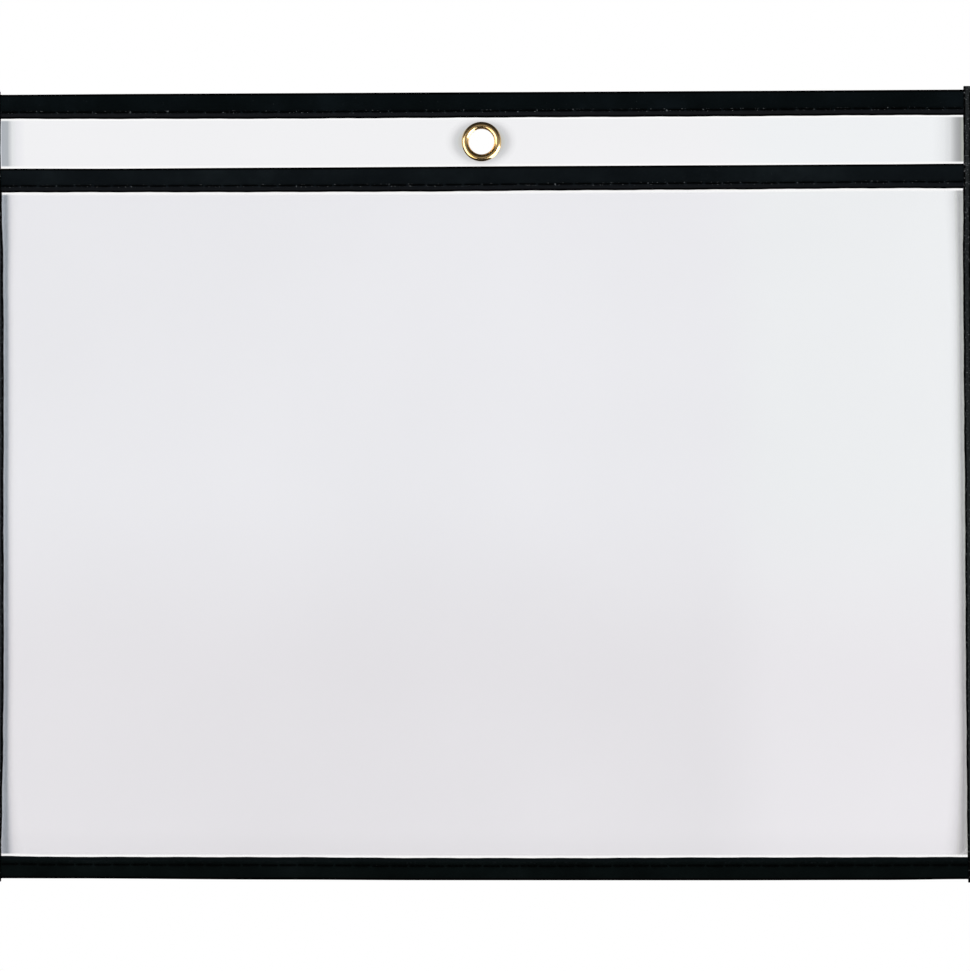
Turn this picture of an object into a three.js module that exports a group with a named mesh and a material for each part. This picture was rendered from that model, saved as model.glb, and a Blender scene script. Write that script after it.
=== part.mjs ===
import * as THREE from "three";

// Stitched clear vinyl ticket holder with black tape bindings, as it hangs by its eyelet.
// Millimetres. X runs across the holder, Z is up and the front faces -Y.
// Heights are measured from the eyelet's centre, which is the origin.

// Stock
const filmThickness = 0.35;
const tapeThickness = 0.5;
const threadWidth = 0.5;
const threadHeight = 0.26;
const threadSunk = 0.07;
const seatGap = 0.04;

// Outline
const windowHalfWidth = 154.2;
const sideLeaf = 7.5;
const crossLeaf = 7.4;
const bottomLeaf = 6.9;
const topEdge = 15.7;
const mouthEdge = -7.9;
const bottomEdge = -236;
const sideOverrun = 1;

// Pocket
const mouthRamp = 12;
const stepRamp = 2.5;
const pocketSwell = 1.8;
const mouthShare = 0.65;
const windowColumns = 22;
const windowRows = 16;

// Stitching
const stitchPitch = 5.9;
const stitchRise = 0.9;
const topSeamInset = 1.9;
const bottomSeamInset = 2.4;
const sideSeamInset = 2.1;

// Eyelet
const holeRadius = 4.1;
const flangeRadius = 6.35;
const curlRadius = 5.9;
const metalThickness = 0.4;
const flangeHeight = 1.5;
const curlHeight = 1.15;
const barrelClearance = 0.1;

// Sizes that follow from the ones above
const outerHalfWidth = windowHalfWidth + sideLeaf;
const sheetHalfWidth = outerHalfWidth - tapeThickness;
const sheetTop = topEdge - tapeThickness;
const frontTop = mouthEdge - tapeThickness;
const sheetBottom = bottomEdge + tapeThickness;
const topLeafEdge = topEdge - crossLeaf;
const mouthLeafEdge = mouthEdge - crossLeaf;
const bottomLeafEdge = bottomEdge + bottomLeaf;
const rampEnd = mouthLeafEdge - mouthRamp;
const backFace = filmThickness / 2;
const backFront = -filmThickness / 2;
const mouthLift = tapeThickness + threadHeight + seatGap;

// Straight-line interpolation through pairs of place and value.
function polyline(pairs) {
  const sorted = [...pairs].sort((a, b) => a[0] - b[0]);
  return (place) => {
    if (place <= sorted[0][0]) return sorted[0][1];
    for (let i = 1; i < sorted.length; i += 1) {
      const [x0, y0] = sorted[i - 1];
      const [x1, y1] = sorted[i];
      if (place <= x1) return y0 + ((y1 - y0) * (place - x0)) / (x1 - x0);
    }
    return sorted[sorted.length - 1][1];
  };
}

function spread(from, to, count) {
  return Array.from({ length: count + 1 }, (_, i) => from + ((to - from) * i) / count);
}

// How far the front sheet is lifted off the back sheet along the side seams.
const seamLift = polyline([
  [sheetBottom, 0],
  [rampEnd, 0],
  [mouthLeafEdge, mouthLift],
  [frontTop, mouthLift],
]);

// The empty pocket's slight swell: none at the seams, most above the middle, a little at the mouth.
function swell(x, z) {
  const across = 1 - Math.min(1, Math.abs(x) / windowHalfWidth) ** 4;
  const up = Math.min(1, Math.max(0, (z - bottomLeafEdge) / (mouthLeafEdge - bottomLeafEdge)));
  const along = (1 - (1 - up) ** 3) * (1 - (1 - mouthShare) * up * up);
  return pocketSwell * across * along;
}

const columns = [
  -sheetHalfWidth,
  ...spread(-windowHalfWidth, windowHalfWidth, windowColumns),
  sheetHalfWidth,
];
const rows = [
  sheetBottom,
  ...spread(bottomLeafEdge, rampEnd, windowRows),
  mouthLeafEdge - stepRamp,
  mouthLeafEdge,
  frontTop,
];
const mouthSwell = polyline(columns.map((x) => [x, swell(x, mouthLeafEdge)]));

// The front and back of everything that a side binding is folded over, at each height.
const sideFront = polyline([
  [bottomEdge - sideOverrun, backFront - filmThickness - tapeThickness],
  [bottomLeafEdge, backFront - filmThickness - tapeThickness],
  [bottomLeafEdge + stepRamp, backFront - filmThickness],
  [rampEnd, backFront - filmThickness],
  [mouthLeafEdge - stepRamp, backFront - filmThickness - seamLift(mouthLeafEdge - stepRamp)],
  [mouthLeafEdge, backFront - filmThickness - mouthLift - tapeThickness],
  [mouthEdge, backFront - filmThickness - mouthLift - tapeThickness],
  [mouthEdge + stepRamp, backFront],
  [topLeafEdge - stepRamp, backFront],
  [topLeafEdge, backFront - tapeThickness],
  [topEdge + sideOverrun, backFront - tapeThickness],
]);
const sideBack = polyline([
  [bottomEdge - sideOverrun, backFace + tapeThickness],
  [bottomLeafEdge, backFace + tapeThickness],
  [bottomLeafEdge + stepRamp, backFace],
  [topLeafEdge - stepRamp, backFace],
  [topLeafEdge, backFace + tapeThickness],
  [topEdge + sideOverrun, backFace + tapeThickness],
]);
const sideStations = [
  bottomEdge - sideOverrun,
  bottomLeafEdge,
  bottomLeafEdge + stepRamp,
  rampEnd,
  mouthLeafEdge - stepRamp,
  mouthLeafEdge,
  mouthEdge,
  mouthEdge + stepRamp,
  topLeafEdge - stepRamp,
  topLeafEdge,
  topEdge + sideOverrun,
];

// Materials
function clearVinyl() {
  return new THREE.MeshStandardMaterial({
    color: "#e6e7ea",
    roughness: 0.12,
    metalness: 0,
    transparent: true,
    opacity: 0.35,
  });
}

function blackTape() {
  return new THREE.MeshStandardMaterial({ color: "#121517", roughness: 0.55, metalness: 0 });
}

function brass() {
  return new THREE.MeshStandardMaterial({ color: "#c7a04a", roughness: 0.25, metalness: 1 });
}

function blackThread() {
  return new THREE.MeshStandardMaterial({ color: "#1b1e21", roughness: 0.8, metalness: 0 });
}

// Moves each corner to its place, then turns the faces outward if that mirrored them.
function placed(source, place) {
  const geometry = source.index ? source.toNonIndexed() : source;
  const position = geometry.attributes.position;
  const corner = new THREE.Vector3();
  for (let i = 0; i < position.count; i += 1) {
    corner.fromBufferAttribute(position, i);
    place(corner);
    position.setXYZ(i, corner.x, corner.y, corner.z);
  }
  return facingOut(geometry);
}

function facingOut(source) {
  const geometry = source.index ? source.toNonIndexed() : source;
  const position = geometry.attributes.position;
  const [a, b, c] = [new THREE.Vector3(), new THREE.Vector3(), new THREE.Vector3()];
  let volume = 0;
  for (let i = 0; i < position.count; i += 3) {
    a.fromBufferAttribute(position, i);
    b.fromBufferAttribute(position, i + 1);
    c.fromBufferAttribute(position, i + 2);
    volume += a.dot(b.cross(c));
  }
  if (volume < 0) {
    for (let i = 0; i < position.count; i += 3) {
      b.fromBufferAttribute(position, i + 1);
      c.fromBufferAttribute(position, i + 2);
      position.setXYZ(i + 1, c.x, c.y, c.z);
      position.setXYZ(i + 2, b.x, b.y, b.z);
    }
  }
  geometry.computeVertexNormals();
  return geometry;
}

function named(name, geometry, material) {
  const mesh = new THREE.Mesh(geometry, material);
  mesh.name = name;
  return mesh;
}

// Full-height clear sheet with the eyelet's hole in its header.
function backSheet() {
  const outline = new THREE.Shape();
  outline.moveTo(-sheetHalfWidth, sheetBottom);
  outline.lineTo(sheetHalfWidth, sheetBottom);
  outline.lineTo(sheetHalfWidth, sheetTop);
  outline.lineTo(-sheetHalfWidth, sheetTop);
  outline.closePath();
  const hole = new THREE.Path();
  hole.absarc(0, 0, holeRadius + metalThickness + barrelClearance, 0, Math.PI * 2, true);
  outline.holes.push(hole);
  const blank = new THREE.ExtrudeGeometry(outline, {
    depth: filmThickness,
    bevelEnabled: false,
    curveSegments: 24,
  });
  const geometry = placed(blank, (p) => p.set(p.x, p.z > filmThickness / 2 ? backFace : backFront, p.y));
  return named("back_sheet", geometry, clearVinyl());
}

// Pocket front: shorter, lying on the back sheet at the seams and swelling a little between them.
function frontSheet() {
  const across = columns.length - 1;
  const up = rows.length - 1;
  const blank = new THREE.BoxGeometry(1, 1, 1, across, 1, up);
  const geometry = placed(blank, (p) => {
    const x = columns[Math.round((p.x + 0.5) * across)];
    const z = rows[Math.round((p.z + 0.5) * up)];
    const back = backFront - seamLift(z) - swell(x, z);
    p.set(x, p.y < 0 ? back - filmThickness : back, z);
  });
  return named("front_sheet", geometry, clearVinyl());
}

// Cross-section of a folded tape: u is the depth in from the fold, v runs from the front face to the back.
function foldShape(leaf) {
  const shape = new THREE.Shape();
  shape.moveTo(leaf, -1);
  for (let i = 0; i <= 8; i += 1) {
    const angle = -Math.PI / 2 + (Math.PI * i) / 8;
    shape.lineTo(tapeThickness * (1 - Math.cos(angle)), Math.sin(angle));
  }
  shape.lineTo(leaf, 1);
  shape.lineTo(leaf, 0.5);
  shape.lineTo(tapeThickness, 0.5);
  shape.lineTo(tapeThickness, -0.5);
  shape.lineTo(leaf, -0.5);
  shape.closePath();
  return shape;
}

// A tape folded over an edge. front and back give the faces that it encloses at each station.
function foldedTape(leaf, stations, front, back, place) {
  const steps = stations.length - 1;
  const blank = new THREE.ExtrudeGeometry(foldShape(leaf), {
    depth: steps,
    steps,
    bevelEnabled: false,
  });
  return placed(blank, (p) => {
    const station = stations[Math.round(p.z)];
    const inner = front(station);
    const outer = back(station);
    const through = polyline([
      [-1, inner - tapeThickness],
      [-0.5, inner],
      [0.5, outer],
      [1, outer + tapeThickness],
    ]);
    place(p, station, p.x, through(p.y));
  });
}

function topBinding() {
  const geometry = foldedTape(
    crossLeaf,
    [-sheetHalfWidth, sheetHalfWidth],
    () => backFront,
    () => backFace,
    (p, x, depth, y) => p.set(x, y, topEdge - depth),
  );
  return named("top_binding", geometry, blackTape());
}

// Folded over the front sheet's top edge only, so the pocket stays open behind it.
function mouthBinding() {
  const geometry = foldedTape(
    crossLeaf,
    columns,
    (x) => backFront - mouthLift - mouthSwell(x) - filmThickness,
    (x) => backFront - mouthLift - mouthSwell(x),
    (p, x, depth, y) => p.set(x, y, mouthEdge - depth),
  );
  return named("mouth_binding", geometry, blackTape());
}

function bottomBinding() {
  const geometry = foldedTape(
    bottomLeaf,
    [-sheetHalfWidth, sheetHalfWidth],
    () => backFront - filmThickness,
    () => backFace,
    (p, x, depth, y) => p.set(x, y, bottomEdge + depth),
  );
  return named("bottom_binding", geometry, blackTape());
}

// Folded over both sheets and over the ends of the cross bindings, and a little longer than they are apart.
function sideBinding(name, side) {
  const geometry = foldedTape(
    sideLeaf,
    sideStations,
    sideFront,
    sideBack,
    (p, z, depth, y) => p.set(side * (outerHalfWidth - depth), y, z),
  );
  return named(name, geometry, blackTape());
}

// Places along one row of stitches, with the thread's height at each: low at a hole, full between holes.
function stitchPlaces(from, to, knots) {
  const count = Math.max(1, Math.round((to - from) / stitchPitch));
  const pitch = (to - from) / count;
  const pairs = [];
  for (let k = 0; k < count; k += 1) {
    const start = from + k * pitch;
    pairs.push([start, threadSunk]);
    pairs.push([start + stitchRise, threadHeight]);
    pairs.push([start + pitch - stitchRise, threadHeight]);
  }
  pairs.push([to, threadSunk]);
  const height = polyline(pairs);
  const extra = knots.filter((k) => k > from && k < to && pairs.every(([p]) => Math.abs(p - k) > 0.02));
  return [...pairs, ...extra.map((k) => [k, height(k)])].sort((a, b) => a[0] - b[0]);
}

// One thread lying on a leaf. face gives the leaf's surface, outward is -1 in front and 1 behind.
function stitchRow(name, places, face, outward, place) {
  const steps = places.length - 1;
  const blank = new THREE.BoxGeometry(1, 1, 1, steps, 1, 1);
  const geometry = placed(blank, (p) => {
    const [station, height] = places[Math.round((p.x + 0.5) * steps)];
    const raised = p.y > 0 ? height : 0;
    place(p, station, face(station) + outward * raised, p.z * threadWidth);
  });
  return named(name, geometry, blackThread());
}

function crossThreads(seam, z, knots, front, back) {
  const end = windowHalfWidth - seatGap;
  const places = stitchPlaces(-end, end, knots);
  const place = (p, x, y, w) => p.set(x, y, z + w);
  return [
    stitchRow(`needle_thread_${seam}`, places, (x) => front(x) - tapeThickness, -1, place),
    stitchRow(`bobbin_thread_${seam}`, places, (x) => back(x) + tapeThickness, 1, place),
  ];
}

function sideThreads(name, side) {
  const end = sideOverrun + threadWidth;
  const places = stitchPlaces(bottomEdge - sideOverrun + end, topEdge + sideOverrun - end, sideStations);
  const x = side * (windowHalfWidth + sideSeamInset);
  const place = (p, z, y, w) => p.set(x + w, y, z);
  return [
    stitchRow(`needle_thread_${name}`, places, (z) => sideFront(z) - tapeThickness, -1, place),
    stitchRow(`bobbin_thread_${name}`, places, (z) => sideBack(z) + tapeThickness, 1, place),
  ];
}

// Middle line of the eyelet's metal from the front rim, over the domed flange and down the barrel,
// then round the curl that is rolled over behind the sheet.
function eyeletLine() {
  const half = metalThickness / 2;
  const wall = holeRadius + half;
  const line = [[flangeRadius - half, backFront]];
  const domeY = backFront - (flangeHeight - half) * 0.4;
  const domeX = (wall + flangeRadius - half) / 2;
  for (let i = 0; i <= 12; i += 1) {
    const angle = (Math.PI * i) / 12;
    const rise = (flangeHeight - half) * 0.6;
    line.push([domeX + (flangeRadius - half - domeX) * Math.cos(angle), domeY - rise * Math.sin(angle)]);
  }
  const curlX = (wall + curlRadius - half) / 2;
  const curlY = backFace + (curlHeight - half) * 0.4;
  for (let i = 0; i <= 10; i += 1) {
    const angle = (Math.PI * i) / 10;
    const rise = (curlHeight - half) * 0.6;
    line.push([curlX - (curlRadius - half - curlX) * Math.cos(angle), curlY + rise * Math.sin(angle)]);
  }
  line.push([curlRadius - half, backFace]);
  return line;
}

function eyelet() {
  const line = eyeletLine();
  const half = metalThickness / 2;
  const inside = [];
  const outside = [];
  line.forEach(([r, y], i) => {
    const [r0, y0] = line[Math.max(0, i - 1)];
    const [r1, y1] = line[Math.min(line.length - 1, i + 1)];
    const length = Math.hypot(r1 - r0, y1 - y0);
    const nr = -(y1 - y0) / length;
    const ny = (r1 - r0) / length;
    inside.push(new THREE.Vector2(r + half * nr, y + half * ny));
    outside.push(new THREE.Vector2(r - half * nr, y - half * ny));
  });
  const loop = [...inside, ...outside.reverse()];
  loop.push(loop[0].clone());
  return named("eyelet", facingOut(new THREE.LatheGeometry(loop, 48)), brass());
}

const group = new THREE.Group();
group.name = "ticket_holder";
group.add(backSheet(), frontSheet());
group.add(topBinding(), mouthBinding(), bottomBinding());
group.add(sideBinding("left_binding", -1), sideBinding("right_binding", 1));
group.add(eyelet());
group.add(...crossThreads("top", topLeafEdge + topSeamInset, [], () => backFront, () => backFace));
group.add(
  ...crossThreads(
    "mouth",
    mouthLeafEdge + topSeamInset,
    columns,
    (x) => backFront - mouthLift - mouthSwell(x) - filmThickness,
    (x) => backFront - mouthLift - mouthSwell(x),
  ),
);
group.add(
  ...crossThreads(
    "bottom",
    bottomLeafEdge - bottomSeamInset,
    [],
    () => backFront - filmThickness,
    () => backFace,
  ),
);
group.add(...sideThreads("left", -1), ...sideThreads("right", 1));

export default group;
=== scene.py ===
import math

import bmesh
import bpy
from mathutils import Matrix, Vector


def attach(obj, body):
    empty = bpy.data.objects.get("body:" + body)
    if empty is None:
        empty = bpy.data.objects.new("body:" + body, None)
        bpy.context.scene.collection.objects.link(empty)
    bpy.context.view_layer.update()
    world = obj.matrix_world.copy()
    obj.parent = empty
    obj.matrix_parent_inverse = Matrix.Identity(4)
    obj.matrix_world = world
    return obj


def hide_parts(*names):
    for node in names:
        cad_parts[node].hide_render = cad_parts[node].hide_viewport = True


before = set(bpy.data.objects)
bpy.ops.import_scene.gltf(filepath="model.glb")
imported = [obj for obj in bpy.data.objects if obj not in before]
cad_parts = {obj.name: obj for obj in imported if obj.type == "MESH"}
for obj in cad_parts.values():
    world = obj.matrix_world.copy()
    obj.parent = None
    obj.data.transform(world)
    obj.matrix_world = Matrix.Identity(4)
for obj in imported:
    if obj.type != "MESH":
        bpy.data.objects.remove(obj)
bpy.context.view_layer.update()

# Sizes of the holder in millimetres, with heights measured from the eyelet's centre
MM = 0.001
FILM = 0.35
TAPE = 0.5
WINDOW = 154.2
SIDE_LEAF = 7.5
CROSS_LEAF = 7.4
BOTTOM_LEAF = 6.9
TOP_EDGE = 15.7
MOUTH_EDGE = -7.9
BOTTOM_EDGE = -236.0
OVERRUN = 1.0
STITCH = 5.9
TOP_SEAM = 5.5
BOTTOM_SEAM = 4.5
SIDE_SEAM = 5.4
MOUTH_LIFT = 0.8
MOUTH_SWELL = 1.8
STEP_OVER = 2.5
FILM_HOLE = 4.6
FLANGE_MIDDLE = 5.225
FLANGE_WIDTH = 0.925
FLANGE_RISE = 0.8
CURL_MIDDLE = 5.0
CURL_WIDTH = 0.7
CURL_RISE = 0.57
BRASS = 0.4
OUTER = WINDOW + SIDE_LEAF
SHEET = OUTER - TAPE
TOP_LEAF = TOP_EDGE - CROSS_LEAF
MOUTH_LEAF = MOUTH_EDGE - CROSS_LEAF
BOTTOM_LEAF_EDGE = BOTTOM_EDGE + BOTTOM_LEAF
RAMP_END = MOUTH_LEAF - 12.0
BACK = FILM / 2
FRONT = -FILM / 2
PVC_INDEX = 1.53
SHADE_SPAN = 0.24
FLOOR_HEIGHT = -0.75


# Small helpers

def linear(hex_colour):
    """An sRGB hex colour as the linear colour that a shader takes."""
    parts = [int(hex_colour[i:i + 2], 16) / 255 for i in (1, 3, 5)]
    return tuple(c / 12.92 if c <= 0.04045 else ((c + 0.055) / 1.055) ** 2.4 for c in parts) + (1.0,)


def along(pairs):
    """Straight-line interpolation through pairs of place and value."""
    def value(place):
        if place <= pairs[0][0]:
            return pairs[0][1]
        for (x0, y0), (x1, y1) in zip(pairs, pairs[1:]):
            if place <= x1:
                return y0 + (y1 - y0) * (place - x0) / (x1 - x0)
        return pairs[-1][1]
    return value


def eased(pairs):
    """Like along, with a soft start and end to every step."""
    def value(place):
        if place <= pairs[0][0]:
            return pairs[0][1]
        for (x0, y0), (x1, y1) in zip(pairs, pairs[1:]):
            if place <= x1:
                share = (place - x0) / (x1 - x0)
                return y0 + (y1 - y0) * share * share * (3 - 2 * share)
        return pairs[-1][1]
    return value


def spread(start, end, count):
    return [start + (end - start) * i / count for i in range(count + 1)]


def add(tree, kind, inputs=None, **settings):
    """Adds a node with its settings. Each input is a value, or a socket to link from."""
    made = tree.nodes.new(kind)
    for key, value in settings.items():
        setattr(made, key, value)
    for key, value in (inputs or {}).items():
        if isinstance(value, bpy.types.NodeSocket):
            tree.links.new(value, made.inputs[key])
        else:
            made.inputs[key].default_value = value
    return made


def material(name):
    made = bpy.data.materials.new(name)
    made.use_nodes = True
    made.node_tree.nodes.clear()
    return made, made.node_tree


def stops(ramp, values):
    """Sets a colour ramp's stops from pairs of place and linear grey or hex colour."""
    elements = ramp.color_ramp.elements
    while len(elements) > 1:
        elements.remove(elements[-1])
    for i, (place, value) in enumerate(values):
        stop = elements[0] if i == 0 else elements.new(place)
        stop.position = place
        stop.color = linear(value) if isinstance(value, str) else (value, value, value, 1)
    return ramp


# The lie of the layers

seam_lift = along([(-300, 0), (RAMP_END, 0), (MOUTH_LEAF, MOUTH_LIFT), (0, MOUTH_LIFT)])


def swell(x, z):
    """The empty pocket's slight swell: none at the seams, most above its middle."""
    across = 1 - min(1, abs(x) / WINDOW) ** 4
    up = min(1, max(0, (z - BOTTOM_LEAF_EDGE) / (MOUTH_LEAF - BOTTOM_LEAF_EDGE)))
    return MOUTH_SWELL * across * (1 - (1 - up) ** 3) * (1 - 0.35 * up * up)


# No sewn seam is quite straight. Each list gives a height, or a place across, and the seam's shift there
left_shift = eased([
    (-236, -0.25), (-228, -0.15), (-211, 0.14), (-192, 0.46), (-166, 0.65), (-141, 0.6), (-115, 0.48),
    (-89, 0.58), (-64, 0.52), (-38, 0.33), (-18, -0.16), (0, -0.58)])
right_shift = eased([
    (-236, -0.6), (-228, -0.4), (-211, -0.29), (-192, -0.2), (-166, -0.06), (-141, -0.02), (-115, 0.0),
    (-89, 0.2), (-64, 0.28), (-38, 0.38), (-18, 0.23), (0, 0.08)])
seam_shifts = [
    (BOTTOM_EDGE, eased([
        (-154, 0.22), (-135, 0.18), (-64, -0.2), (-19, -0.38), (77, -0.4), (128, -0.28), (154, 0)])),
    (BOTTOM_LEAF_EDGE, eased([
        (-154, 0.5), (-135, 0.2), (-64, 0.12), (-19, -0.15), (25, -0.18), (77, 0.03), (154, 0.15)])),
    (MOUTH_LEAF, eased([
        (-154, -0.45), (-64, -0.75), (-19, -0.8), (25, -0.6), (77, -0.52), (128, -0.3), (154, -0.35)])),
    (MOUTH_EDGE, eased([
        (-154, -0.15), (-116, -0.35), (-64, -0.28), (25, -0.14), (77, -0.1), (128, 0), (154, 0.15)])),
    (-5.5, lambda x: 0.0),
    (5.5, lambda x: 0.0),
    (TOP_LEAF, eased([
        (-154, -0.22), (-116, -0.42), (-64, -0.58), (25, -0.5), (77, -0.48), (128, -0.35), (154, -0.4)])),
    (TOP_EDGE, eased([(-154, 0.15), (-110, 0.24), (0, 0.26), (77, 0.28), (154, 0.36)])),
]


def settled(x, y, z):
    """A point of the holder moved with the seams as they were really sewn, by less than a millimetre."""
    rise = along([(height, shift(x)) for height, shift in seam_shifts])(z)
    near = min(1, max(0, (abs(x) - 110) / (WINDOW - 110)))
    inward = left_shift(z) if x < 0 else right_shift(z)
    return Vector((x - near * inward * math.copysign(1, x), y, z + rise)) * MM


side_front = along([
    (BOTTOM_LEAF_EDGE, FRONT - FILM - TAPE),
    (BOTTOM_LEAF_EDGE + STEP_OVER, FRONT - FILM),
    (RAMP_END, FRONT - FILM),
    (MOUTH_LEAF - STEP_OVER, FRONT - FILM - seam_lift(MOUTH_LEAF - STEP_OVER)),
    (MOUTH_LEAF, FRONT - FILM - MOUTH_LIFT - TAPE),
    (MOUTH_EDGE, FRONT - FILM - MOUTH_LIFT - TAPE),
    (MOUTH_EDGE + STEP_OVER, FRONT),
    (TOP_LEAF - STEP_OVER, FRONT),
    (TOP_LEAF, FRONT - TAPE),
])
side_back = along([
    (BOTTOM_LEAF_EDGE, BACK + TAPE),
    (BOTTOM_LEAF_EDGE + STEP_OVER, BACK),
    (TOP_LEAF - STEP_OVER, BACK),
    (TOP_LEAF, BACK + TAPE),
])


# Materials

def clear_vinyl(name, corners, shades, shade_foot, reaches, edges, eyelet_shadow=None):
    """Plasticised PVC film, calendered and press-polished: clear and glossy. Its tints carry painted light
    and shade: shadows beside the bindings and round the eyelet, lighter and darker parts of the sheet, and
    light lines along the bindings.

    A ray meets two faces of each sheet, so the tints are square roots of what one sheet lets through.
    The places are the flat sheet's own, kept in its UV map in metres.
    """
    made, tree = material(name)
    spot = add(tree, "ShaderNodeUVMap", uv_map="flat").outputs["UV"]
    axes = add(tree, "ShaderNodeSeparateXYZ", {0: spot})
    across, up = axes.outputs["X"], axes.outputs["Y"]

    # Slow tone changes where the pressed film varies in thickness over some 60 mm
    cloud = add(
        tree, "ShaderNodeTexNoise", {"Vector": spot, "Scale": 9.0, "Detail": 2.0, "Roughness": 0.45})
    tone = stops(
        add(tree, "ShaderNodeValToRGB", {0: cloud.outputs["Fac"]}), [(0.3, "#fefefe"), (0.7, "#ffffff")])

    # Painted light and shade over the sheet: lighter towards its right and top, darker low down at its left
    left_low, left_high, right_low, right_high = corners
    high = add(
        tree, "ShaderNodeMapRange", {"Value": up, "From Min": -175 * MM, "From Max": -105 * MM},
        interpolation_type="SMOOTHSTEP")
    right = add(
        tree, "ShaderNodeMapRange", {"Value": across, "From Min": 68 * MM, "From Max": 98 * MM},
        interpolation_type="SMOOTHSTEP")
    left_side = add(
        tree, "ShaderNodeMix", {0: high.outputs[0], 6: linear(left_low), 7: linear(left_high)},
        data_type="RGBA")
    right_side = add(
        tree, "ShaderNodeMix", {0: high.outputs[0], 6: linear(right_low), 7: linear(right_high)},
        data_type="RGBA")
    base = add(
        tree, "ShaderNodeMix", {0: right.outputs[0], 6: left_side.outputs[2], 7: right_side.outputs[2]},
        data_type="RGBA")
    mixed = add(
        tree, "ShaderNodeMix", {0: 1.0, 6: tone.outputs["Color"], 7: base.outputs[2]}, data_type="RGBA",
        blend_type="MULTIPLY")
    colour = mixed.outputs[2]

    # Painted shadow of each side binding on the film beside it, over the last few millimetres, with a thin
    # painted highlight right at the binding's edge
    reach = add(
        tree, "ShaderNodeMapRange",
        {"Value": up, "From Min": (shade_foot - 2) * MM, "From Max": (shade_foot + 2) * MM}).outputs[0]
    share = add(tree, "ShaderNodeMath", {0: up, 1: 1 / SHADE_SPAN, 2: 1.0}, operation="MULTIPLY_ADD")
    wider = stops(add(tree, "ShaderNodeValToRGB", {0: share.outputs[0]}), reaches)
    for sign, values in shades:
        gap = add(
            tree, "ShaderNodeMath", {0: across, 1: sign * 100.0, 2: WINDOW / 10},
            operation="MULTIPLY_ADD")
        gap = add(
            tree, "ShaderNodeMath", {0: gap.outputs[0], 1: wider.outputs["Color"]}, operation="MULTIPLY")
        shade = stops(add(tree, "ShaderNodeValToRGB", {0: gap.outputs[0]}), values)
        mixed = add(
            tree, "ShaderNodeMix", {0: reach, 6: colour, 7: shade.outputs["Color"]}, data_type="RGBA",
            blend_type="MULTIPLY")
        colour = mixed.outputs[2]

    # Painted shade over the last 8 mm above the bottom seam, next to the bottom binding
    low = add(
        tree, "ShaderNodeMapRange",
        {"Value": up, "From Min": -228 * MM, "From Max": -220 * MM, "To Min": 1.0, "To Max": 0.0})
    mixed = add(
        tree, "ShaderNodeMix", {0: low.outputs[0], 6: colour, 7: linear("#fefefe")}, data_type="RGBA",
        blend_type="MULTIPLY")
    colour = mixed.outputs[2]

    # Painted highlight: a light line, under a millimetre wide, along each edge of a cross binding
    near = 1.0
    for edge in edges:
        off = add(tree, "ShaderNodeMath", {0: up, 1: edge * MM}, operation="SUBTRACT")
        gap = add(tree, "ShaderNodeMath", {0: off.outputs[0]}, operation="ABSOLUTE")
        near = add(tree, "ShaderNodeMath", {0: near, 1: gap.outputs[0]}, operation="MINIMUM").outputs[0]
    line = add(
        tree, "ShaderNodeMapRange",
        {"Value": near, "From Min": 0.5 * MM, "From Max": 1.0 * MM, "To Min": 1.0, "To Max": 0.0})
    lit = add(
        tree, "ShaderNodeMix", {0: line.outputs[0], 6: colour, 7: linear("#ffffff")}, data_type="RGBA")
    colour = lit.outputs[2]

    if eyelet_shadow:
        # Painted shadow of the eyelet on the film round it, most at the left and right
        flat = add(tree, "ShaderNodeVectorMath", {0: spot, 1: (1.0, 1.35, 0.0)}, operation="MULTIPLY")
        away = add(tree, "ShaderNodeVectorMath", {0: flat.outputs[0]}, operation="LENGTH")
        ring = add(tree, "ShaderNodeMath", {0: away.outputs["Value"], 1: 60.0}, operation="MULTIPLY")
        shadowed = stops(add(tree, "ShaderNodeValToRGB", {0: ring.outputs[0]}), eyelet_shadow)
        mixed = add(
            tree, "ShaderNodeMix", {0: 1.0, 6: colour, 7: shadowed.outputs["Color"]}, data_type="RGBA",
            blend_type="MULTIPLY")
        colour = mixed.outputs[2]

    # Faint ripples of some 8 mm left by the press, seen only in reflections
    ripple = add(tree, "ShaderNodeTexNoise", {"Vector": spot, "Scale": 120.0, "Detail": 1.0})
    bump = add(
        tree, "ShaderNodeBump", {"Strength": 0.03, "Distance": 0.0002, "Height": ripple.outputs["Fac"]})
    clear = add(tree, "ShaderNodeBsdfTransparent", {"Color": colour})
    gloss = add(
        tree, "ShaderNodeBsdfGlossy",
        {"Color": linear("#ffffff"), "Roughness": 0.09, "Normal": bump.outputs[0]})
    # A sheet's far face takes the inverse index, so that it reflects as its near face does
    side = add(tree, "ShaderNodeNewGeometry").outputs["Backfacing"]
    index = add(tree, "ShaderNodeMapRange", {"Value": side, "To Min": PVC_INDEX, "To Max": 1 / PVC_INDEX})
    shine = add(tree, "ShaderNodeFresnel", {"IOR": index.outputs[0]})
    less = add(tree, "ShaderNodeMath", {0: shine.outputs[0], 1: 0.5}, operation="MULTIPLY")
    both = add(tree, "ShaderNodeMixShader", {0: less.outputs[0], 1: clear.outputs[0], 2: gloss.outputs[0]})
    add(tree, "ShaderNodeOutputMaterial", {"Surface": both.outputs[0]})
    return made


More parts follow.
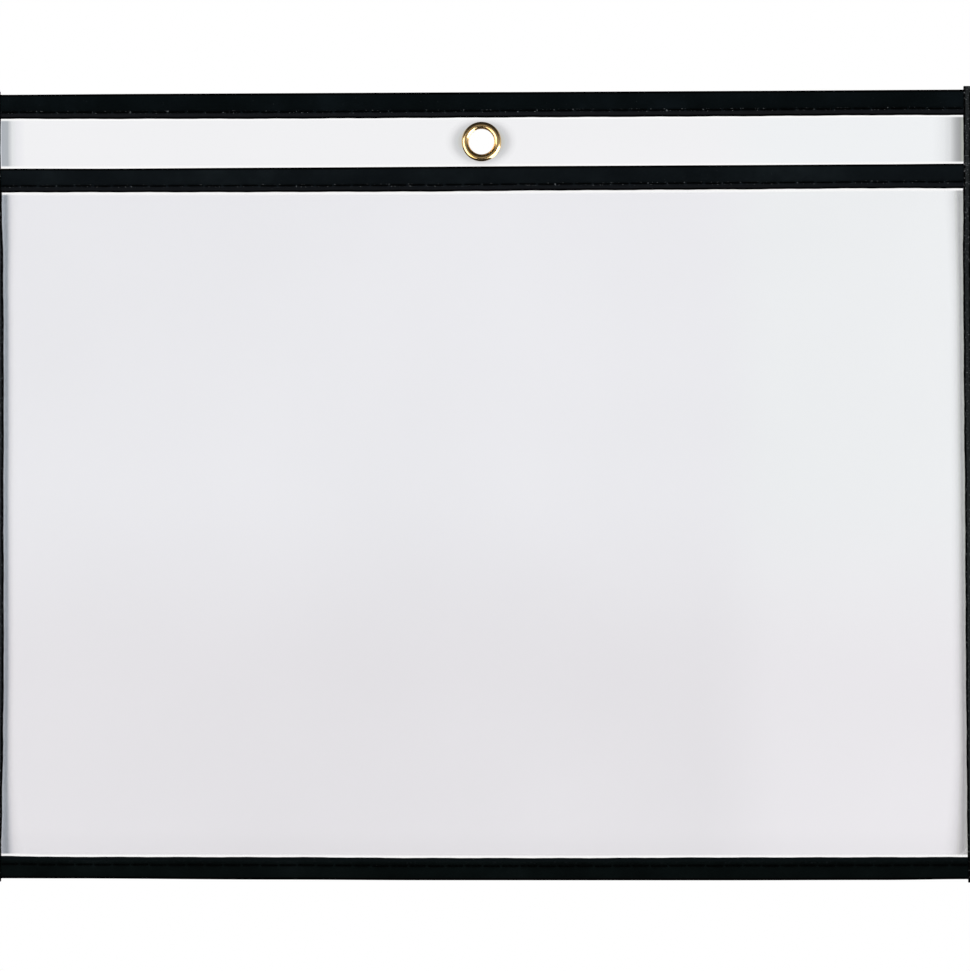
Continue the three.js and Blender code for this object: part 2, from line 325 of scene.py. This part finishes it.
def grained_tape(name, tones, strip_colour, lint_and_glint_colour, dust_colour, dust_start, shine):
    """Black PVC binding tape, calendered with a fine leather grain: nearly black, satin, with dull pits.

    The UV map runs along the tape and, in its second value, in from the fold, both in metres.
    """
    made, tree = material(name)
    spot = add(tree, "ShaderNodeTexCoord").outputs["Object"]
    # Pebbles of 0.7 mm, the pressed grain's size
    pebble = add(
        tree, "ShaderNodeTexVoronoi", {"Vector": spot, "Scale": 1400.0, "Randomness": 0.9},
        feature="SMOOTH_F1")
    fine = add(
        tree, "ShaderNodeTexNoise", {"Vector": spot, "Scale": 3200.0, "Detail": 3.0, "Roughness": 0.65})
    height = add(
        tree, "ShaderNodeMath", {0: pebble.outputs["Distance"], 1: 0.6, 2: fine.outputs["Fac"]},
        operation="MULTIPLY_ADD")
    bump = add(tree, "ShaderNodeBump", {"Strength": 0.4, "Distance": 0.00005, "Height": height.outputs[0]})
    # Handling and dust vary the tone over 10 to 30 mm
    cloud = add(
        tree, "ShaderNodeTexNoise", {"Vector": spot, "Scale": 55.0, "Detail": 4.0, "Roughness": 0.6})
    tone = stops(add(tree, "ShaderNodeValToRGB", {0: cloud.outputs["Fac"]}), tones)
    # The loose strip beyond the stitches takes its own tone, and the seam itself stays dark
    lie = add(tree, "ShaderNodeUVMap", uv_map="flat")
    inward = add(tree, "ShaderNodeSeparateXYZ", {0: lie.outputs["UV"]})
    place = add(tree, "ShaderNodeMath", {0: inward.outputs["Y"], 1: 100.0}, operation="MULTIPLY")
    strip_band = stops(
        add(tree, "ShaderNodeValToRGB", {0: place.outputs[0]}),
        [(0.56, 0.0), (0.61, 1.0), (0.68, 1.0), (0.7, 0.0)])
    strip = add(
        tree, "ShaderNodeMix",
        {0: strip_band.outputs["Color"], 6: tone.outputs["Color"], 7: linear(strip_colour)}, data_type="RGBA")
    # Painted shade, where light doesn't reach into the seam's channel or round the two edges
    hidden = stops(
        add(tree, "ShaderNodeValToRGB", {0: place.outputs[0]}),
        [
            (0.0, 0.0), (0.05, 0.03), (0.09, 0.5), (0.52, 0.5), (0.56, 0.6), (0.6, 1.0), (0.68, 1.0),
            (0.7, 0.03)])
    strip_and_shade = add(
        tree, "ShaderNodeMix", {0: 1.0, 6: strip.outputs[2], 7: hidden.outputs["Color"]},
        data_type="RGBA", blend_type="MULTIPLY")
    # Pale dust caught in single pits, and pale specks at the needle holes: lint, and painted glints of the
    # thread
    dust = add(tree, "ShaderNodeTexNoise", {"Vector": spot, "Scale": 1900.0, "Detail": 1.0})
    speck = stops(
        add(tree, "ShaderNodeValToRGB", {0: dust.outputs["Fac"]}),
        [(0.0, 0.0), (dust_start, 0.0), (dust_start + 0.1, 0.6)])
    dusty = add(
        tree, "ShaderNodeMix", {0: speck.outputs["Color"], 6: strip_and_shade.outputs[2], 7: linear(dust_colour)},
        data_type="RGBA")
    seam = stops(
        add(tree, "ShaderNodeValToRGB", {0: place.outputs[0]}),
        [(0.5, 0.0), (0.53, 1.0), (0.58, 1.0), (0.61, 0.0)])
    needle_specks = add(tree, "ShaderNodeTexNoise", {"Vector": spot, "Scale": 1500.0, "Detail": 1.0})
    caught = stops(
        add(tree, "ShaderNodeValToRGB", {0: needle_specks.outputs["Fac"]}), [(0.0, 0.0), (0.64, 0.0), (0.7, 1.0)])
    there = add(
        tree, "ShaderNodeMath", {0: seam.outputs["Color"], 1: caught.outputs["Color"]},
        operation="MULTIPLY")
    colour = add(
        tree, "ShaderNodeMix", {0: there.outputs[0], 6: dusty.outputs[2], 7: linear(lint_and_glint_colour)},
        data_type="RGBA")
    rough = add(tree, "ShaderNodeMapRange", {"Value": cloud.outputs["Fac"], "To Min": 0.42, "To Max": 0.62})
    shader = add(tree, "ShaderNodeBsdfPrincipled", {
        "Base Color": colour.outputs[2],
        "Roughness": rough.outputs[0],
        "Normal": bump.outputs[0],
        "IOR": PVC_INDEX,
        "Specular IOR Level": shine,
    })
    add(tree, "ShaderNodeOutputMaterial", {"Surface": shader.outputs[0]})
    return made


def bonded_thread():
    """Bonded polyester thread, three plies twisted and resin-coated: black, a soft sheen on each ply."""
    made, tree = material("black_bonded_thread")
    spot = add(tree, "ShaderNodeTexCoord").outputs["Object"]
    # Such a thread's plies cross it every 0.5 mm, and are drawn some four times as coarse to show
    plies = add(
        tree, "ShaderNodeTexWave", {"Vector": spot, "Scale": 320.0, "Distortion": 0.6, "Detail": 1.0},
        wave_type="BANDS", bands_direction="DIAGONAL")
    bump = add(
        tree, "ShaderNodeBump", {"Strength": 0.6, "Distance": 0.00006, "Height": plies.outputs["Fac"]})
    tone = stops(
        add(tree, "ShaderNodeValToRGB", {0: plies.outputs["Fac"]}), [(0.0, "#010202"), (1.0, "#040606")])
    shader = add(tree, "ShaderNodeBsdfPrincipled", {
        "Base Color": tone.outputs["Color"],
        "Roughness": 0.5,
        "Normal": bump.outputs[0],
        "Specular IOR Level": 0.05,
    })
    add(tree, "ShaderNodeOutputMaterial", {"Surface": shader.outputs[0]})
    return made


def rolled_brass():
    """Yellow brass strip, drawn, rolled over and barrel-polished: a warm, faintly dulled mirror."""
    made, tree = material("polished_brass")
    spot = add(tree, "ShaderNodeTexCoord").outputs["Object"]
    cloud = add(tree, "ShaderNodeTexNoise", {"Vector": spot, "Scale": 420.0, "Detail": 3.0})
    tone = stops(
        add(tree, "ShaderNodeValToRGB", {0: cloud.outputs["Fac"]}), [(0.3, "#edc07a"), (0.7, "#f9d9a2")])
    rough = add(tree, "ShaderNodeMapRange", {"Value": cloud.outputs["Fac"], "To Min": 0.15, "To Max": 0.24})
    hair = add(tree, "ShaderNodeTexNoise", {"Vector": spot, "Scale": 2600.0, "Detail": 2.0})
    bump = add(
        tree, "ShaderNodeBump", {"Strength": 0.12, "Distance": 0.00004, "Height": hair.outputs["Fac"]})
    shader = add(tree, "ShaderNodeBsdfPrincipled", {
        "Base Color": tone.outputs["Color"],
        "Metallic": 1.0,
        "Roughness": rough.outputs[0],
        "Normal": bump.outputs[0],
    })
    add(tree, "ShaderNodeOutputMaterial", {"Surface": shader.outputs[0]})
    return made


# Finishing a piece

def finish_piece(bm, name, surface, node, crease=38):
    bmesh.ops.recalc_face_normals(bm, faces=bm.faces)
    for face in bm.faces:
        face.smooth = True
    for edge in bm.edges:
        if len(edge.link_faces) == 2 and edge.calc_face_angle() > math.radians(crease):
            edge.smooth = False
    mesh = bpy.data.meshes.new(name)
    bm.to_mesh(mesh)
    bm.free()
    mesh.materials.append(surface)
    piece = bpy.data.objects.new(name, mesh)
    bpy.context.scene.collection.objects.link(piece)
    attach(piece, "root")
    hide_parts(node)
    return piece


def drawn_out(section, count):
    """A section in Y and Z drawn out in count unit steps along X, with both ends closed."""
    bm = bmesh.new()
    corners = [bm.verts.new((0, u, v)) for u, v in section]
    ring = [bm.edges.new((a, b)) for a, b in zip(corners, corners[1:] + corners[:1])]
    first = list(ring)
    for _ in range(count):
        drawn = bmesh.ops.extrude_edge_only(bm, edges=ring)["geom"]
        moved = {g for g in drawn if isinstance(g, bmesh.types.BMVert)}
        bmesh.ops.translate(bm, verts=list(moved), vec=(1, 0, 0))
        ring = [g for g in drawn if isinstance(g, bmesh.types.BMEdge) and set(g.verts) <= moved]
    bmesh.ops.holes_fill(bm, edges=first + ring, sides=0)
    bmesh.ops.triangulate(bm, faces=[f for f in bm.faces if len(f.verts) > 4])
    return bm


# Bindings

def fold_section(leaf, seam):
    """Folded tape: u is the depth in from the fold, v runs from the front face at -1 to the back face at 1.

    One unit of v is a millimetre outside the layers. The stitches pull a shallow channel into each leaf.
    """
    front = [
        (leaf, -0.5),
        (leaf, -0.93),
        (leaf - 0.03, -0.98),
        (leaf - 0.1, -1.0),
        ((leaf + seam) / 2 + 0.3, -1.03),
        (seam + 0.75, -1.0),
        (seam + 0.4, -0.93),
        (seam + 0.15, -0.85),
        (seam - 0.15, -0.85),
        (seam - 0.4, -0.93),
        (seam - 0.75, -1.01),
        (seam * 0.6, -1.06),
        (seam * 0.3, -1.05),
        (TAPE + 0.25, -1.0),
    ]
    turns = [math.radians(-90 + 180 * i / 12) for i in range(1, 12)]
    fold = [(TAPE * (1 - math.cos(t)) + 0.03, math.sin(t)) for t in turns]
    back = [(u, -v) for u, v in reversed(front)]
    return front + fold + back + [(TAPE, 0.5), (TAPE, -0.5)]


def binding(name, leaf, seam, stations, front, back, place, surface):
    bm = drawn_out(fold_section(leaf, seam), len(stations) - 1)
    flat = bm.loops.layers.uv.new("flat")
    for face in bm.faces:
        for loop in face.loops:
            loop[flat].uv = (stations[round(loop.vert.co.x)] * MM, loop.vert.co.y * MM)
    for corner in bm.verts:
        station = stations[round(corner.co.x)]
        u, v = corner.co.y, corner.co.z
        inner, outer = front(station), back(station)
        # Each stitch draws the channel in a little further at its holes
        if abs(u - seam) < 0.5 and abs(v) > 0.6:
            pull = 0.05 * math.cos(2 * math.pi * station / STITCH)
            v = math.copysign(abs(v) - pull, v)
        if v < -0.5:
            y = inner + (v + 0.5)
        elif v > 0.5:
            y = outer + (v - 0.5)
        else:
            y = inner + (outer - inner) * (v + 0.5)
        # The tape's cut edge wanders a little between stitches
        if u > seam + 0.5:
            u += 0.04 * math.sin(station * 0.31) + 0.02 * math.sin(station * 1.07)
        corner.co = settled(*place(station, u, y))
    return finish_piece(bm, name, surface, name.replace("_tape", "_binding"))


# Threads

def stitch_row(name, start, end, face, outward, place, surface, node):
    """One stitch as a bent, tapering thread, repeated along the seam and laid on the leaf's surface."""
    count = max(1, round((end - start) / STITCH))
    pitch = (end - start) / count
    turns = [2 * math.pi * i / 8 for i in range(8)]
    bm = drawn_out([(math.cos(t), math.sin(t)) for t in turns], 8)
    shape = [
        (0.04, -0.34, 0.13), (0.07, -0.12, 0.17), (0.14, 0.0, 0.19), (0.26, 0.05, 0.2), (0.5, 0.06, 0.21),
        (0.74, 0.05, 0.2), (0.86, 0.0, 0.19), (0.93, -0.12, 0.17), (0.96, -0.34, 0.13)]
    for corner in bm.verts:
        share, rise, radius = shape[round(corner.co.x)]
        corner.co = Vector((share * pitch, corner.co.y * radius, rise + corner.co.z * radius * 0.9))
    one = list(bm.verts) + list(bm.edges) + list(bm.faces)
    for k in range(1, count):
        copy = bmesh.ops.duplicate(bm, geom=one)["geom"]
        bmesh.ops.translate(
            bm, verts=[g for g in copy if isinstance(g, bmesh.types.BMVert)], vec=(k * pitch, 0, 0))
    for corner in bm.verts:
        station = start + corner.co.x
        lean = 0.06 * math.sin(2.1 * math.floor(corner.co.x / pitch + 1e-6))
        corner.co = settled(*place(station, corner.co.y + lean, face(station) + outward * corner.co.z))
    return finish_piece(bm, name, surface, node, 80)


# Sheets

def film(name, columns, rows, back_face, surface, node, hole=0.0):
    across, up = len(columns) - 1, len(rows) - 1
    bm = bmesh.new()
    bmesh.ops.create_grid(bm, x_segments=across, y_segments=up, size=0.5)
    for corner in bm.verts:
        x = columns[round((corner.co.x + 0.5) * across)]
        z = rows[round((corner.co.y + 0.5) * up)]
        corner.co = Vector((x, back_face(x, z), z)) * MM
    if hole:
        inside = [face for face in bm.faces if face.calc_center_median().xz.length < hole * MM]
        bmesh.ops.delete(bm, geom=inside, context="FACES")
        for corner in bm.verts:
            away = Vector((corner.co.x, corner.co.z))
            if corner.is_boundary and away.length < 2 * hole * MM:
                away *= hole * MM / away.length
                corner.co.x, corner.co.z = away
    bmesh.ops.recalc_face_normals(bm, faces=bm.faces)
    middle = min(bm.faces, key=lambda f: (f.calc_center_median() - Vector((0.05, 0, -0.1))).length)
    if middle.normal.y < 0:
        bmesh.ops.reverse_faces(bm, faces=bm.faces)
    bmesh.ops.solidify(bm, geom=list(bm.faces), thickness=FILM * MM)
    flat = bm.loops.layers.uv.new("flat")
    for face in bm.faces:
        for loop in face.loops:
            loop[flat].uv = (loop.vert.co.x, loop.vert.co.z)
    for corner in bm.verts:
        corner.co = settled(*(corner.co / MM))
    return finish_piece(bm, name, surface, node, 60)


# Eyelet

def eyelet_section():
    """The eyelet's metal in half section: domed flange in front, barrel, and the curl clinched behind."""
    half = BRASS / 2
    line = [(FLANGE_MIDDLE + FLANGE_WIDTH, FRONT)]
    for i in range(25):
        t = math.pi * i / 24
        line.append((FLANGE_MIDDLE + FLANGE_WIDTH * math.cos(t), FRONT - 0.5 - FLANGE_RISE * math.sin(t)))
    for i in range(17):
        t = math.pi * i / 16
        line.append((CURL_MIDDLE - CURL_WIDTH * math.cos(t), BACK + 0.38 + CURL_RISE * math.sin(t)))
    line.append((CURL_MIDDLE + CURL_WIDTH, BACK))
    inside, outside = [], []
    for i, (r, y) in enumerate(line):
        r0, y0 = line[max(0, i - 1)]
        r1, y1 = line[min(len(line) - 1, i + 1)]
        size = math.hypot(r1 - r0, y1 - y0)
        nr, ny = -(y1 - y0) / size, (r1 - r0) / size
        inside.append((r + half * nr, y + half * ny))
        outside.append((r - half * nr, y - half * ny))
    return inside + outside[::-1]


def brass_eyelet(surface):
    bm = bmesh.new()
    corners = [bm.verts.new((r * MM, y * MM, 0)) for r, y in eyelet_section()]
    edges = [bm.edges.new((a, b)) for a, b in zip(corners, corners[1:] + corners[:1])]
    bmesh.ops.spin(
        bm, geom=corners + edges, cent=(0, 0, 0), axis=(0, 1, 0), angle=2 * math.pi, steps=96,
        use_merge=True)
    bmesh.ops.remove_doubles(bm, verts=bm.verts, dist=1e-6)
    return finish_piece(bm, "brass_eyelet", surface, "eyelet", 50)


# Building the holder

# One tape in four copies with their own tones: paler ones for the mouth and the sides, and a darker one,
# painted shade, for the bottom binding
tape = grained_tape(
    "black_vinyl_tape", [(0.3, "#0f1618"), (0.55, "#141c1f"), (0.75, "#1b2429")], strip_colour="#1b1c1f",
    lint_and_glint_colour="#6c7072", dust_colour="#3b4144", dust_start=0.76, shine=0.02)
mouth_tape = grained_tape(
    "paler_mouth_vinyl_tape", [(0.3, "#171d21"), (0.55, "#1e2529"), (0.75, "#272f33")],
    strip_colour="#181a1d", lint_and_glint_colour="#6c7072", dust_colour="#444a4e", dust_start=0.76, shine=0.02)
bottom_tape = grained_tape(
    "shaded_vinyl_tape", [(0.3, "#0d1313"), (0.55, "#121a1a"), (0.75, "#192122")], strip_colour="#0d1214",
    lint_and_glint_colour="#15191b", dust_colour="#2b3134", dust_start=0.78, shine=0.02)
side_tape = grained_tape(
    "paler_side_vinyl_tape", [(0.3, "#1e2021"), (0.55, "#2a2c2d"), (0.75, "#3a3c3d")], strip_colour="#282b2c",
    lint_and_glint_colour="#3c4042", dust_colour="#76797b", dust_start=0.62, shine=0.03)
thread = bonded_thread()
brass = rolled_brass()

pocket_film = clear_vinyl(
    # Corner tones of painted light and shade: lower left, upper left, lower right, upper right
    "clear_vinyl_front", ("#faf9fa", "#fdfdfe", "#fefcfd", "#ffffff"),
    # Ramps of painted shadow beside the left and right side bindings
    [
        (
            1.0,
            [
                (0.0, "#e8eaec"), (0.02, "#dcdfe2"), (0.05, "#d2d6d9"), (0.09, "#ced2d5"),
                (0.125, "#d0d4d6"), (0.155, "#e0e2e4"), (0.185, "#edeeef"), (0.22, "#f5f5f6"),
                (0.25, "#f9f9f9"), (0.3, "#fcfcfc"), (0.36, "#fefefe"), (0.45, 1.0)]),
        (
            -1.0,
            [
                (0.0, "#dedfdb"), (0.04, "#dcdcdb"), (0.1, "#dadada"), (0.17, "#ebebea"),
                (0.23, "#f5f5f5"), (0.3, "#fafafa"), (0.36, "#fdfdfd"), (0.47, 1.0)])],
    -300, [(0.058, 0.6), (0.19, 1.0), (0.81, 1.0), (0.917, 0.72)], [MOUTH_LEAF, BOTTOM_LEAF_EDGE])
header_film = clear_vinyl(
    # Corner tones of painted light and shade: lower left, upper left, lower right, upper right
    "clear_vinyl_back", ("#fafafb", "#fafafb", "#f9fafb", "#f9fafb"),
    # Ramps of painted shadow beside the left and right side bindings
    [
        (
            1.0,
            [
                (0.0, "#f4f6f8"), (0.02, "#f0f3f5"), (0.045, "#d8dbde"), (0.23, "#d9dcde"),
                (0.27, "#e5e7e8"), (0.31, "#ecedee"), (0.37, "#f6f7f7"), (0.53, "#fbfbfc"), (0.8, 1.0)]),
        (
            -1.0,
            [
                (0.0, "#dfe0da"), (0.03, "#d7d8d4"), (0.1, "#cfcfce"), (0.17, "#d4d4d4"),
                (0.23, "#dadada"), (0.3, "#e3e3e3"), (0.36, "#ebebeb"), (0.43, "#f3f3f3"),
                (0.55, "#f7f7f7"), (0.62, "#fafafa"), (0.8, "#fdfdfd"), (1.0, 1.0)])],
    MOUTH_EDGE - 4, [(0.0, 1.0)], [TOP_LEAF, MOUTH_EDGE, MOUTH_LEAF, BOTTOM_LEAF_EDGE],
    # Painted shadow of the eyelet on the film round it
    [
        (0.0, 0.7), (0.39, "#e6e6e2"), (0.43, "#e8e8e5"), (0.47, "#ebecec"), (0.51, "#eeeeee"),
        (0.546, "#f3f3f3"), (0.588, "#f9f9f9"), (0.63, "#fcfcfc"), (0.7, 1.0)])

columns = [-SHEET] + spread(-WINDOW, WINDOW, 96) + [SHEET]
rows = [BOTTOM_EDGE + TAPE] + spread(BOTTOM_LEAF_EDGE, RAMP_END, 64) + [
    MOUTH_LEAF - 6, MOUTH_LEAF - STEP_OVER, MOUTH_LEAF, MOUTH_EDGE - TAPE]
front_film = film(
    "front_film", columns, rows, lambda x, z: FRONT - seam_lift(z) - swell(x, z), pocket_film,
    "front_sheet")
by_eyelet = spread(-16, 16, 32)
columns = [-SHEET] + spread(-WINDOW, -16, 40)[:-1] + by_eyelet + spread(16, WINDOW, 40)[1:] + [SHEET]
rows = [BOTTOM_EDGE + TAPE] + spread(BOTTOM_LEAF_EDGE, -16, 48)[:-1] + spread(-16, 8, 24) + [
    TOP_LEAF, TOP_EDGE - TAPE]
back_film = film("back_film", columns, rows, lambda x, z: BACK, header_film, "back_sheet", FILM_HOLE)

cross_stations = spread(-SHEET, SHEET, 218)
side_stations = sorted(set(spread(BOTTOM_EDGE - OVERRUN, TOP_EDGE + OVERRUN, 170) + [
    BOTTOM_LEAF_EDGE, BOTTOM_LEAF_EDGE + STEP_OVER, RAMP_END, MOUTH_LEAF - STEP_OVER, MOUTH_LEAF,
    MOUTH_EDGE, MOUTH_EDGE + STEP_OVER, TOP_LEAF - STEP_OVER, TOP_LEAF]))


def mouth_front(x):
    return FRONT - MOUTH_LIFT - swell(x, MOUTH_LEAF) - FILM


def mouth_back(x):
    return FRONT - MOUTH_LIFT - swell(x, MOUTH_LEAF)


binding(
    "top_tape", CROSS_LEAF, TOP_SEAM, cross_stations, lambda x: FRONT, lambda x: BACK,
    lambda x, u, y: (x, y, TOP_EDGE - u), tape)
binding(
    "mouth_tape", CROSS_LEAF, TOP_SEAM, cross_stations, mouth_front, mouth_back,
    lambda x, u, y: (x, y, MOUTH_EDGE - u), mouth_tape)
binding(
    "bottom_tape", BOTTOM_LEAF, BOTTOM_SEAM, cross_stations, lambda x: FRONT - FILM, lambda x: BACK,
    lambda x, u, y: (x, y, BOTTOM_EDGE + u), bottom_tape)
binding(
    "left_tape", SIDE_LEAF, SIDE_SEAM, side_stations, side_front, side_back,
    lambda z, u, y: (-OUTER + u, y, z), side_tape)
binding(
    "right_tape", SIDE_LEAF, SIDE_SEAM, side_stations, side_front, side_back,
    lambda z, u, y: (OUTER - u, y, z), side_tape)

cross_rows = [
    ("top", TOP_EDGE - TOP_SEAM, lambda x: FRONT, lambda x: BACK),
    ("mouth", MOUTH_EDGE - TOP_SEAM, mouth_front, mouth_back),
    ("bottom", BOTTOM_EDGE + BOTTOM_SEAM, lambda x: FRONT - FILM, lambda x: BACK),
]
for seam, height, front, back in cross_rows:
    stitch_row(
        f"{seam}_needle_stitches", -WINDOW, WINDOW, lambda x: front(x) - TAPE, -1,
        lambda x, w, y: (x, y, height + w), thread, f"needle_thread_{seam}")
    stitch_row(
        f"{seam}_bobbin_stitches", -WINDOW, WINDOW, lambda x: back(x) + TAPE, 1,
        lambda x, w, y: (x, y, height + w), thread, f"bobbin_thread_{seam}")
for seam, side in (("left", -1), ("right", 1)):
    middle = side * (OUTER - SIDE_SEAM)
    stitch_row(
        f"{seam}_needle_stitches", BOTTOM_EDGE + 0.5, TOP_EDGE - 0.5, lambda z: side_front(z) - TAPE, -1,
        lambda z, w, y: (middle + w, y, z), thread, f"needle_thread_{seam}")
    stitch_row(
        f"{seam}_bobbin_stitches", BOTTOM_EDGE + 0.5, TOP_EDGE - 0.5, lambda z: side_back(z) + TAPE, 1,
        lambda z, w, y: (middle + w, y, z), thread, f"bobbin_thread_{seam}")

eyelet = brass_eyelet(brass)


# Studio

def floor():
    bm = bmesh.new()
    bmesh.ops.create_grid(bm, x_segments=8, y_segments=8, size=3.5)
    bmesh.ops.translate(bm, verts=bm.verts, vec=(0, 0, FLOOR_HEIGHT))
    mesh = bpy.data.meshes.new("floor")
    bm.to_mesh(mesh)
    bm.free()
    made, tree = material("pale_floor")
    path = add(tree, "ShaderNodeLightPath")
    matt = add(tree, "ShaderNodeBsdfDiffuse", {"Color": linear("#f2f2f2")})
    glow = add(tree, "ShaderNodeEmission", {"Color": (1, 1, 1, 1), "Strength": 0.2})
    both = add(tree, "ShaderNodeAddShader", {0: matt.outputs[0], 1: glow.outputs[0]})
    seen = add(
        tree, "ShaderNodeMixShader",
        {0: path.outputs["Is Camera Ray"], 1: matt.outputs[0], 2: both.outputs[0]})
    # In mirror rays the floor is as dark as the room beyond it
    dark = add(tree, "ShaderNodeBsdfDiffuse", {"Color": linear("#303030")})
    shown = add(
        tree, "ShaderNodeMixShader",
        {0: path.outputs["Is Glossy Ray"], 1: seen.outputs[0], 2: dark.outputs[0]})
    add(tree, "ShaderNodeOutputMaterial", {"Surface": shown.outputs[0]})
    mesh.materials.append(made)
    piece = bpy.data.objects.new("floor", mesh)
    bpy.context.scene.collection.objects.link(piece)


def lamp(name, place, size, power, target=(0, 0, -0.1), only=None):
    """A soft lamp. With only, it lights that one piece, as a card held up to it would."""
    light = bpy.data.lights.new(name, "AREA")
    light.shape = "RECTANGLE"
    light.size, light.size_y = size
    light.energy = power
    made = bpy.data.objects.new(name, light)
    made.location = place
    made.rotation_euler = (Vector(target) - Vector(place)).to_track_quat("-Z", "Y").to_euler()
    made.visible_camera = False
    if only:
        lit = bpy.data.collections.new(f"{name}_lights")
        lit.objects.link(only)
        made.light_linking.receiver_collection = lit
    else:
        made.visible_glossy = False
    bpy.context.scene.collection.objects.link(made)


def sun(name, power, spread_angle, turn):
    light = bpy.data.lights.new(name, "SUN")
    light.energy = power
    light.angle = math.radians(spread_angle)
    made = bpy.data.objects.new(name, light)
    made.rotation_euler = [math.radians(angle) for angle in turn]
    made.visible_glossy = False
    bpy.context.scene.collection.objects.link(made)


def studio(eyelet):
    """White behind the holder, a dim room in front of it, wide soft light, and two cards for the eyelet."""
    world = bpy.data.worlds.new("studio")
    world.use_nodes = True
    tree = world.node_tree
    tree.nodes.clear()
    path = add(tree, "ShaderNodeLightPath")
    way = add(tree, "ShaderNodeTexCoord")
    axes = add(tree, "ShaderNodeSeparateXYZ", {0: way.outputs["Generated"]})
    # Mirror rays find the white behind the holder, but not high up
    behind = add(
        tree, "ShaderNodeMapRange", {"Value": axes.outputs["Y"], "From Min": -0.2, "From Max": 0.3})
    below = add(
        tree, "ShaderNodeMapRange", {"Value": axes.outputs["Z"], "From Min": 0.75, "From Max": 0.35})
    behind = add(tree, "ShaderNodeMath", {0: behind.outputs[0], 1: below.outputs[0]}, operation="MULTIPLY")
    mirror = add(
        tree, "ShaderNodeMath", {0: path.outputs["Is Glossy Ray"], 1: behind.outputs[0]},
        operation="MULTIPLY")
    through = add(
        tree, "ShaderNodeMath", {0: mirror.outputs[0], 1: path.outputs["Is Transmission Ray"]},
        operation="MAXIMUM")
    seen = add(
        tree, "ShaderNodeMath", {0: through.outputs[0], 1: path.outputs["Is Camera Ray"]},
        operation="MAXIMUM")
    # In front of it they find walls lighter than the dark ceiling and floor
    height = add(tree, "ShaderNodeMath", {0: axes.outputs["Z"], 1: 0.5, 2: 0.5}, operation="MULTIPLY_ADD")
    walls = stops(add(tree, "ShaderNodeValToRGB", {0: height.outputs[0]}), [
        (0.1, 0.05), (0.3, 0.07), (0.42, 0.3), (0.5, 0.34), (0.56, 0.3), (0.66, 0.05), (0.8, 0.03)])
    level = add(
        tree, "ShaderNodeMix", {0: path.outputs["Is Glossy Ray"], 2: 0.12, 3: walls.outputs["Color"]})
    room = add(tree, "ShaderNodeBackground", {"Color": linear("#ffffff"), "Strength": level.outputs[0]})
    white = add(tree, "ShaderNodeBackground", {"Color": linear("#ffffff"), "Strength": 1.0})
    both = add(tree, "ShaderNodeMixShader", {0: seen.outputs[0], 1: room.outputs[0], 2: white.outputs[0]})
    add(tree, "ShaderNodeOutputWorld", {"Surface": both.outputs[0]})
    bpy.context.scene.world = world
    lamp("left_card", (-0.62, -0.6, -0.25), (0.8, 1.0), 6.5, (0, 0, 0), eyelet)
    lamp("right_card", (0.6, -0.05, -0.6), (1.95, 1.15), 46, (0, 0, 0), eyelet)
    lamp("rear_softbox", (-0.7, 1.5, 0.6), (1.2, 1.2), 16)
    sun("ceiling_light", 1.7, 40, (12, -8, 0))
    sun("front_light", 1.2, 60, (55, 0, -30))


def camera():
    """Looks almost straight at the holder from 1.72 m, so that both side bindings run off the picture."""
    data = bpy.data.cameras.new("camera")
    data.lens = 200
    data.sensor_width = 36
    made = bpy.data.objects.new("camera", data)
    bpy.context.scene.collection.objects.link(made)
    made.location = Vector((59.75, -1724.7, -154.3)) * MM
    turns = ((1.952, "Z"), (1.463, "X"), (0.081, "Y"), (90.0, "X"))
    aim = Matrix.Identity(3)
    for degrees, axis in turns:
        aim = aim @ Matrix.Rotation(math.radians(degrees), 3, axis)
    made.rotation_euler = aim.to_euler()
    bpy.context.scene.camera = made


floor()
studio(eyelet)
camera()
bpy.context.scene.view_settings.view_transform = "Standard"
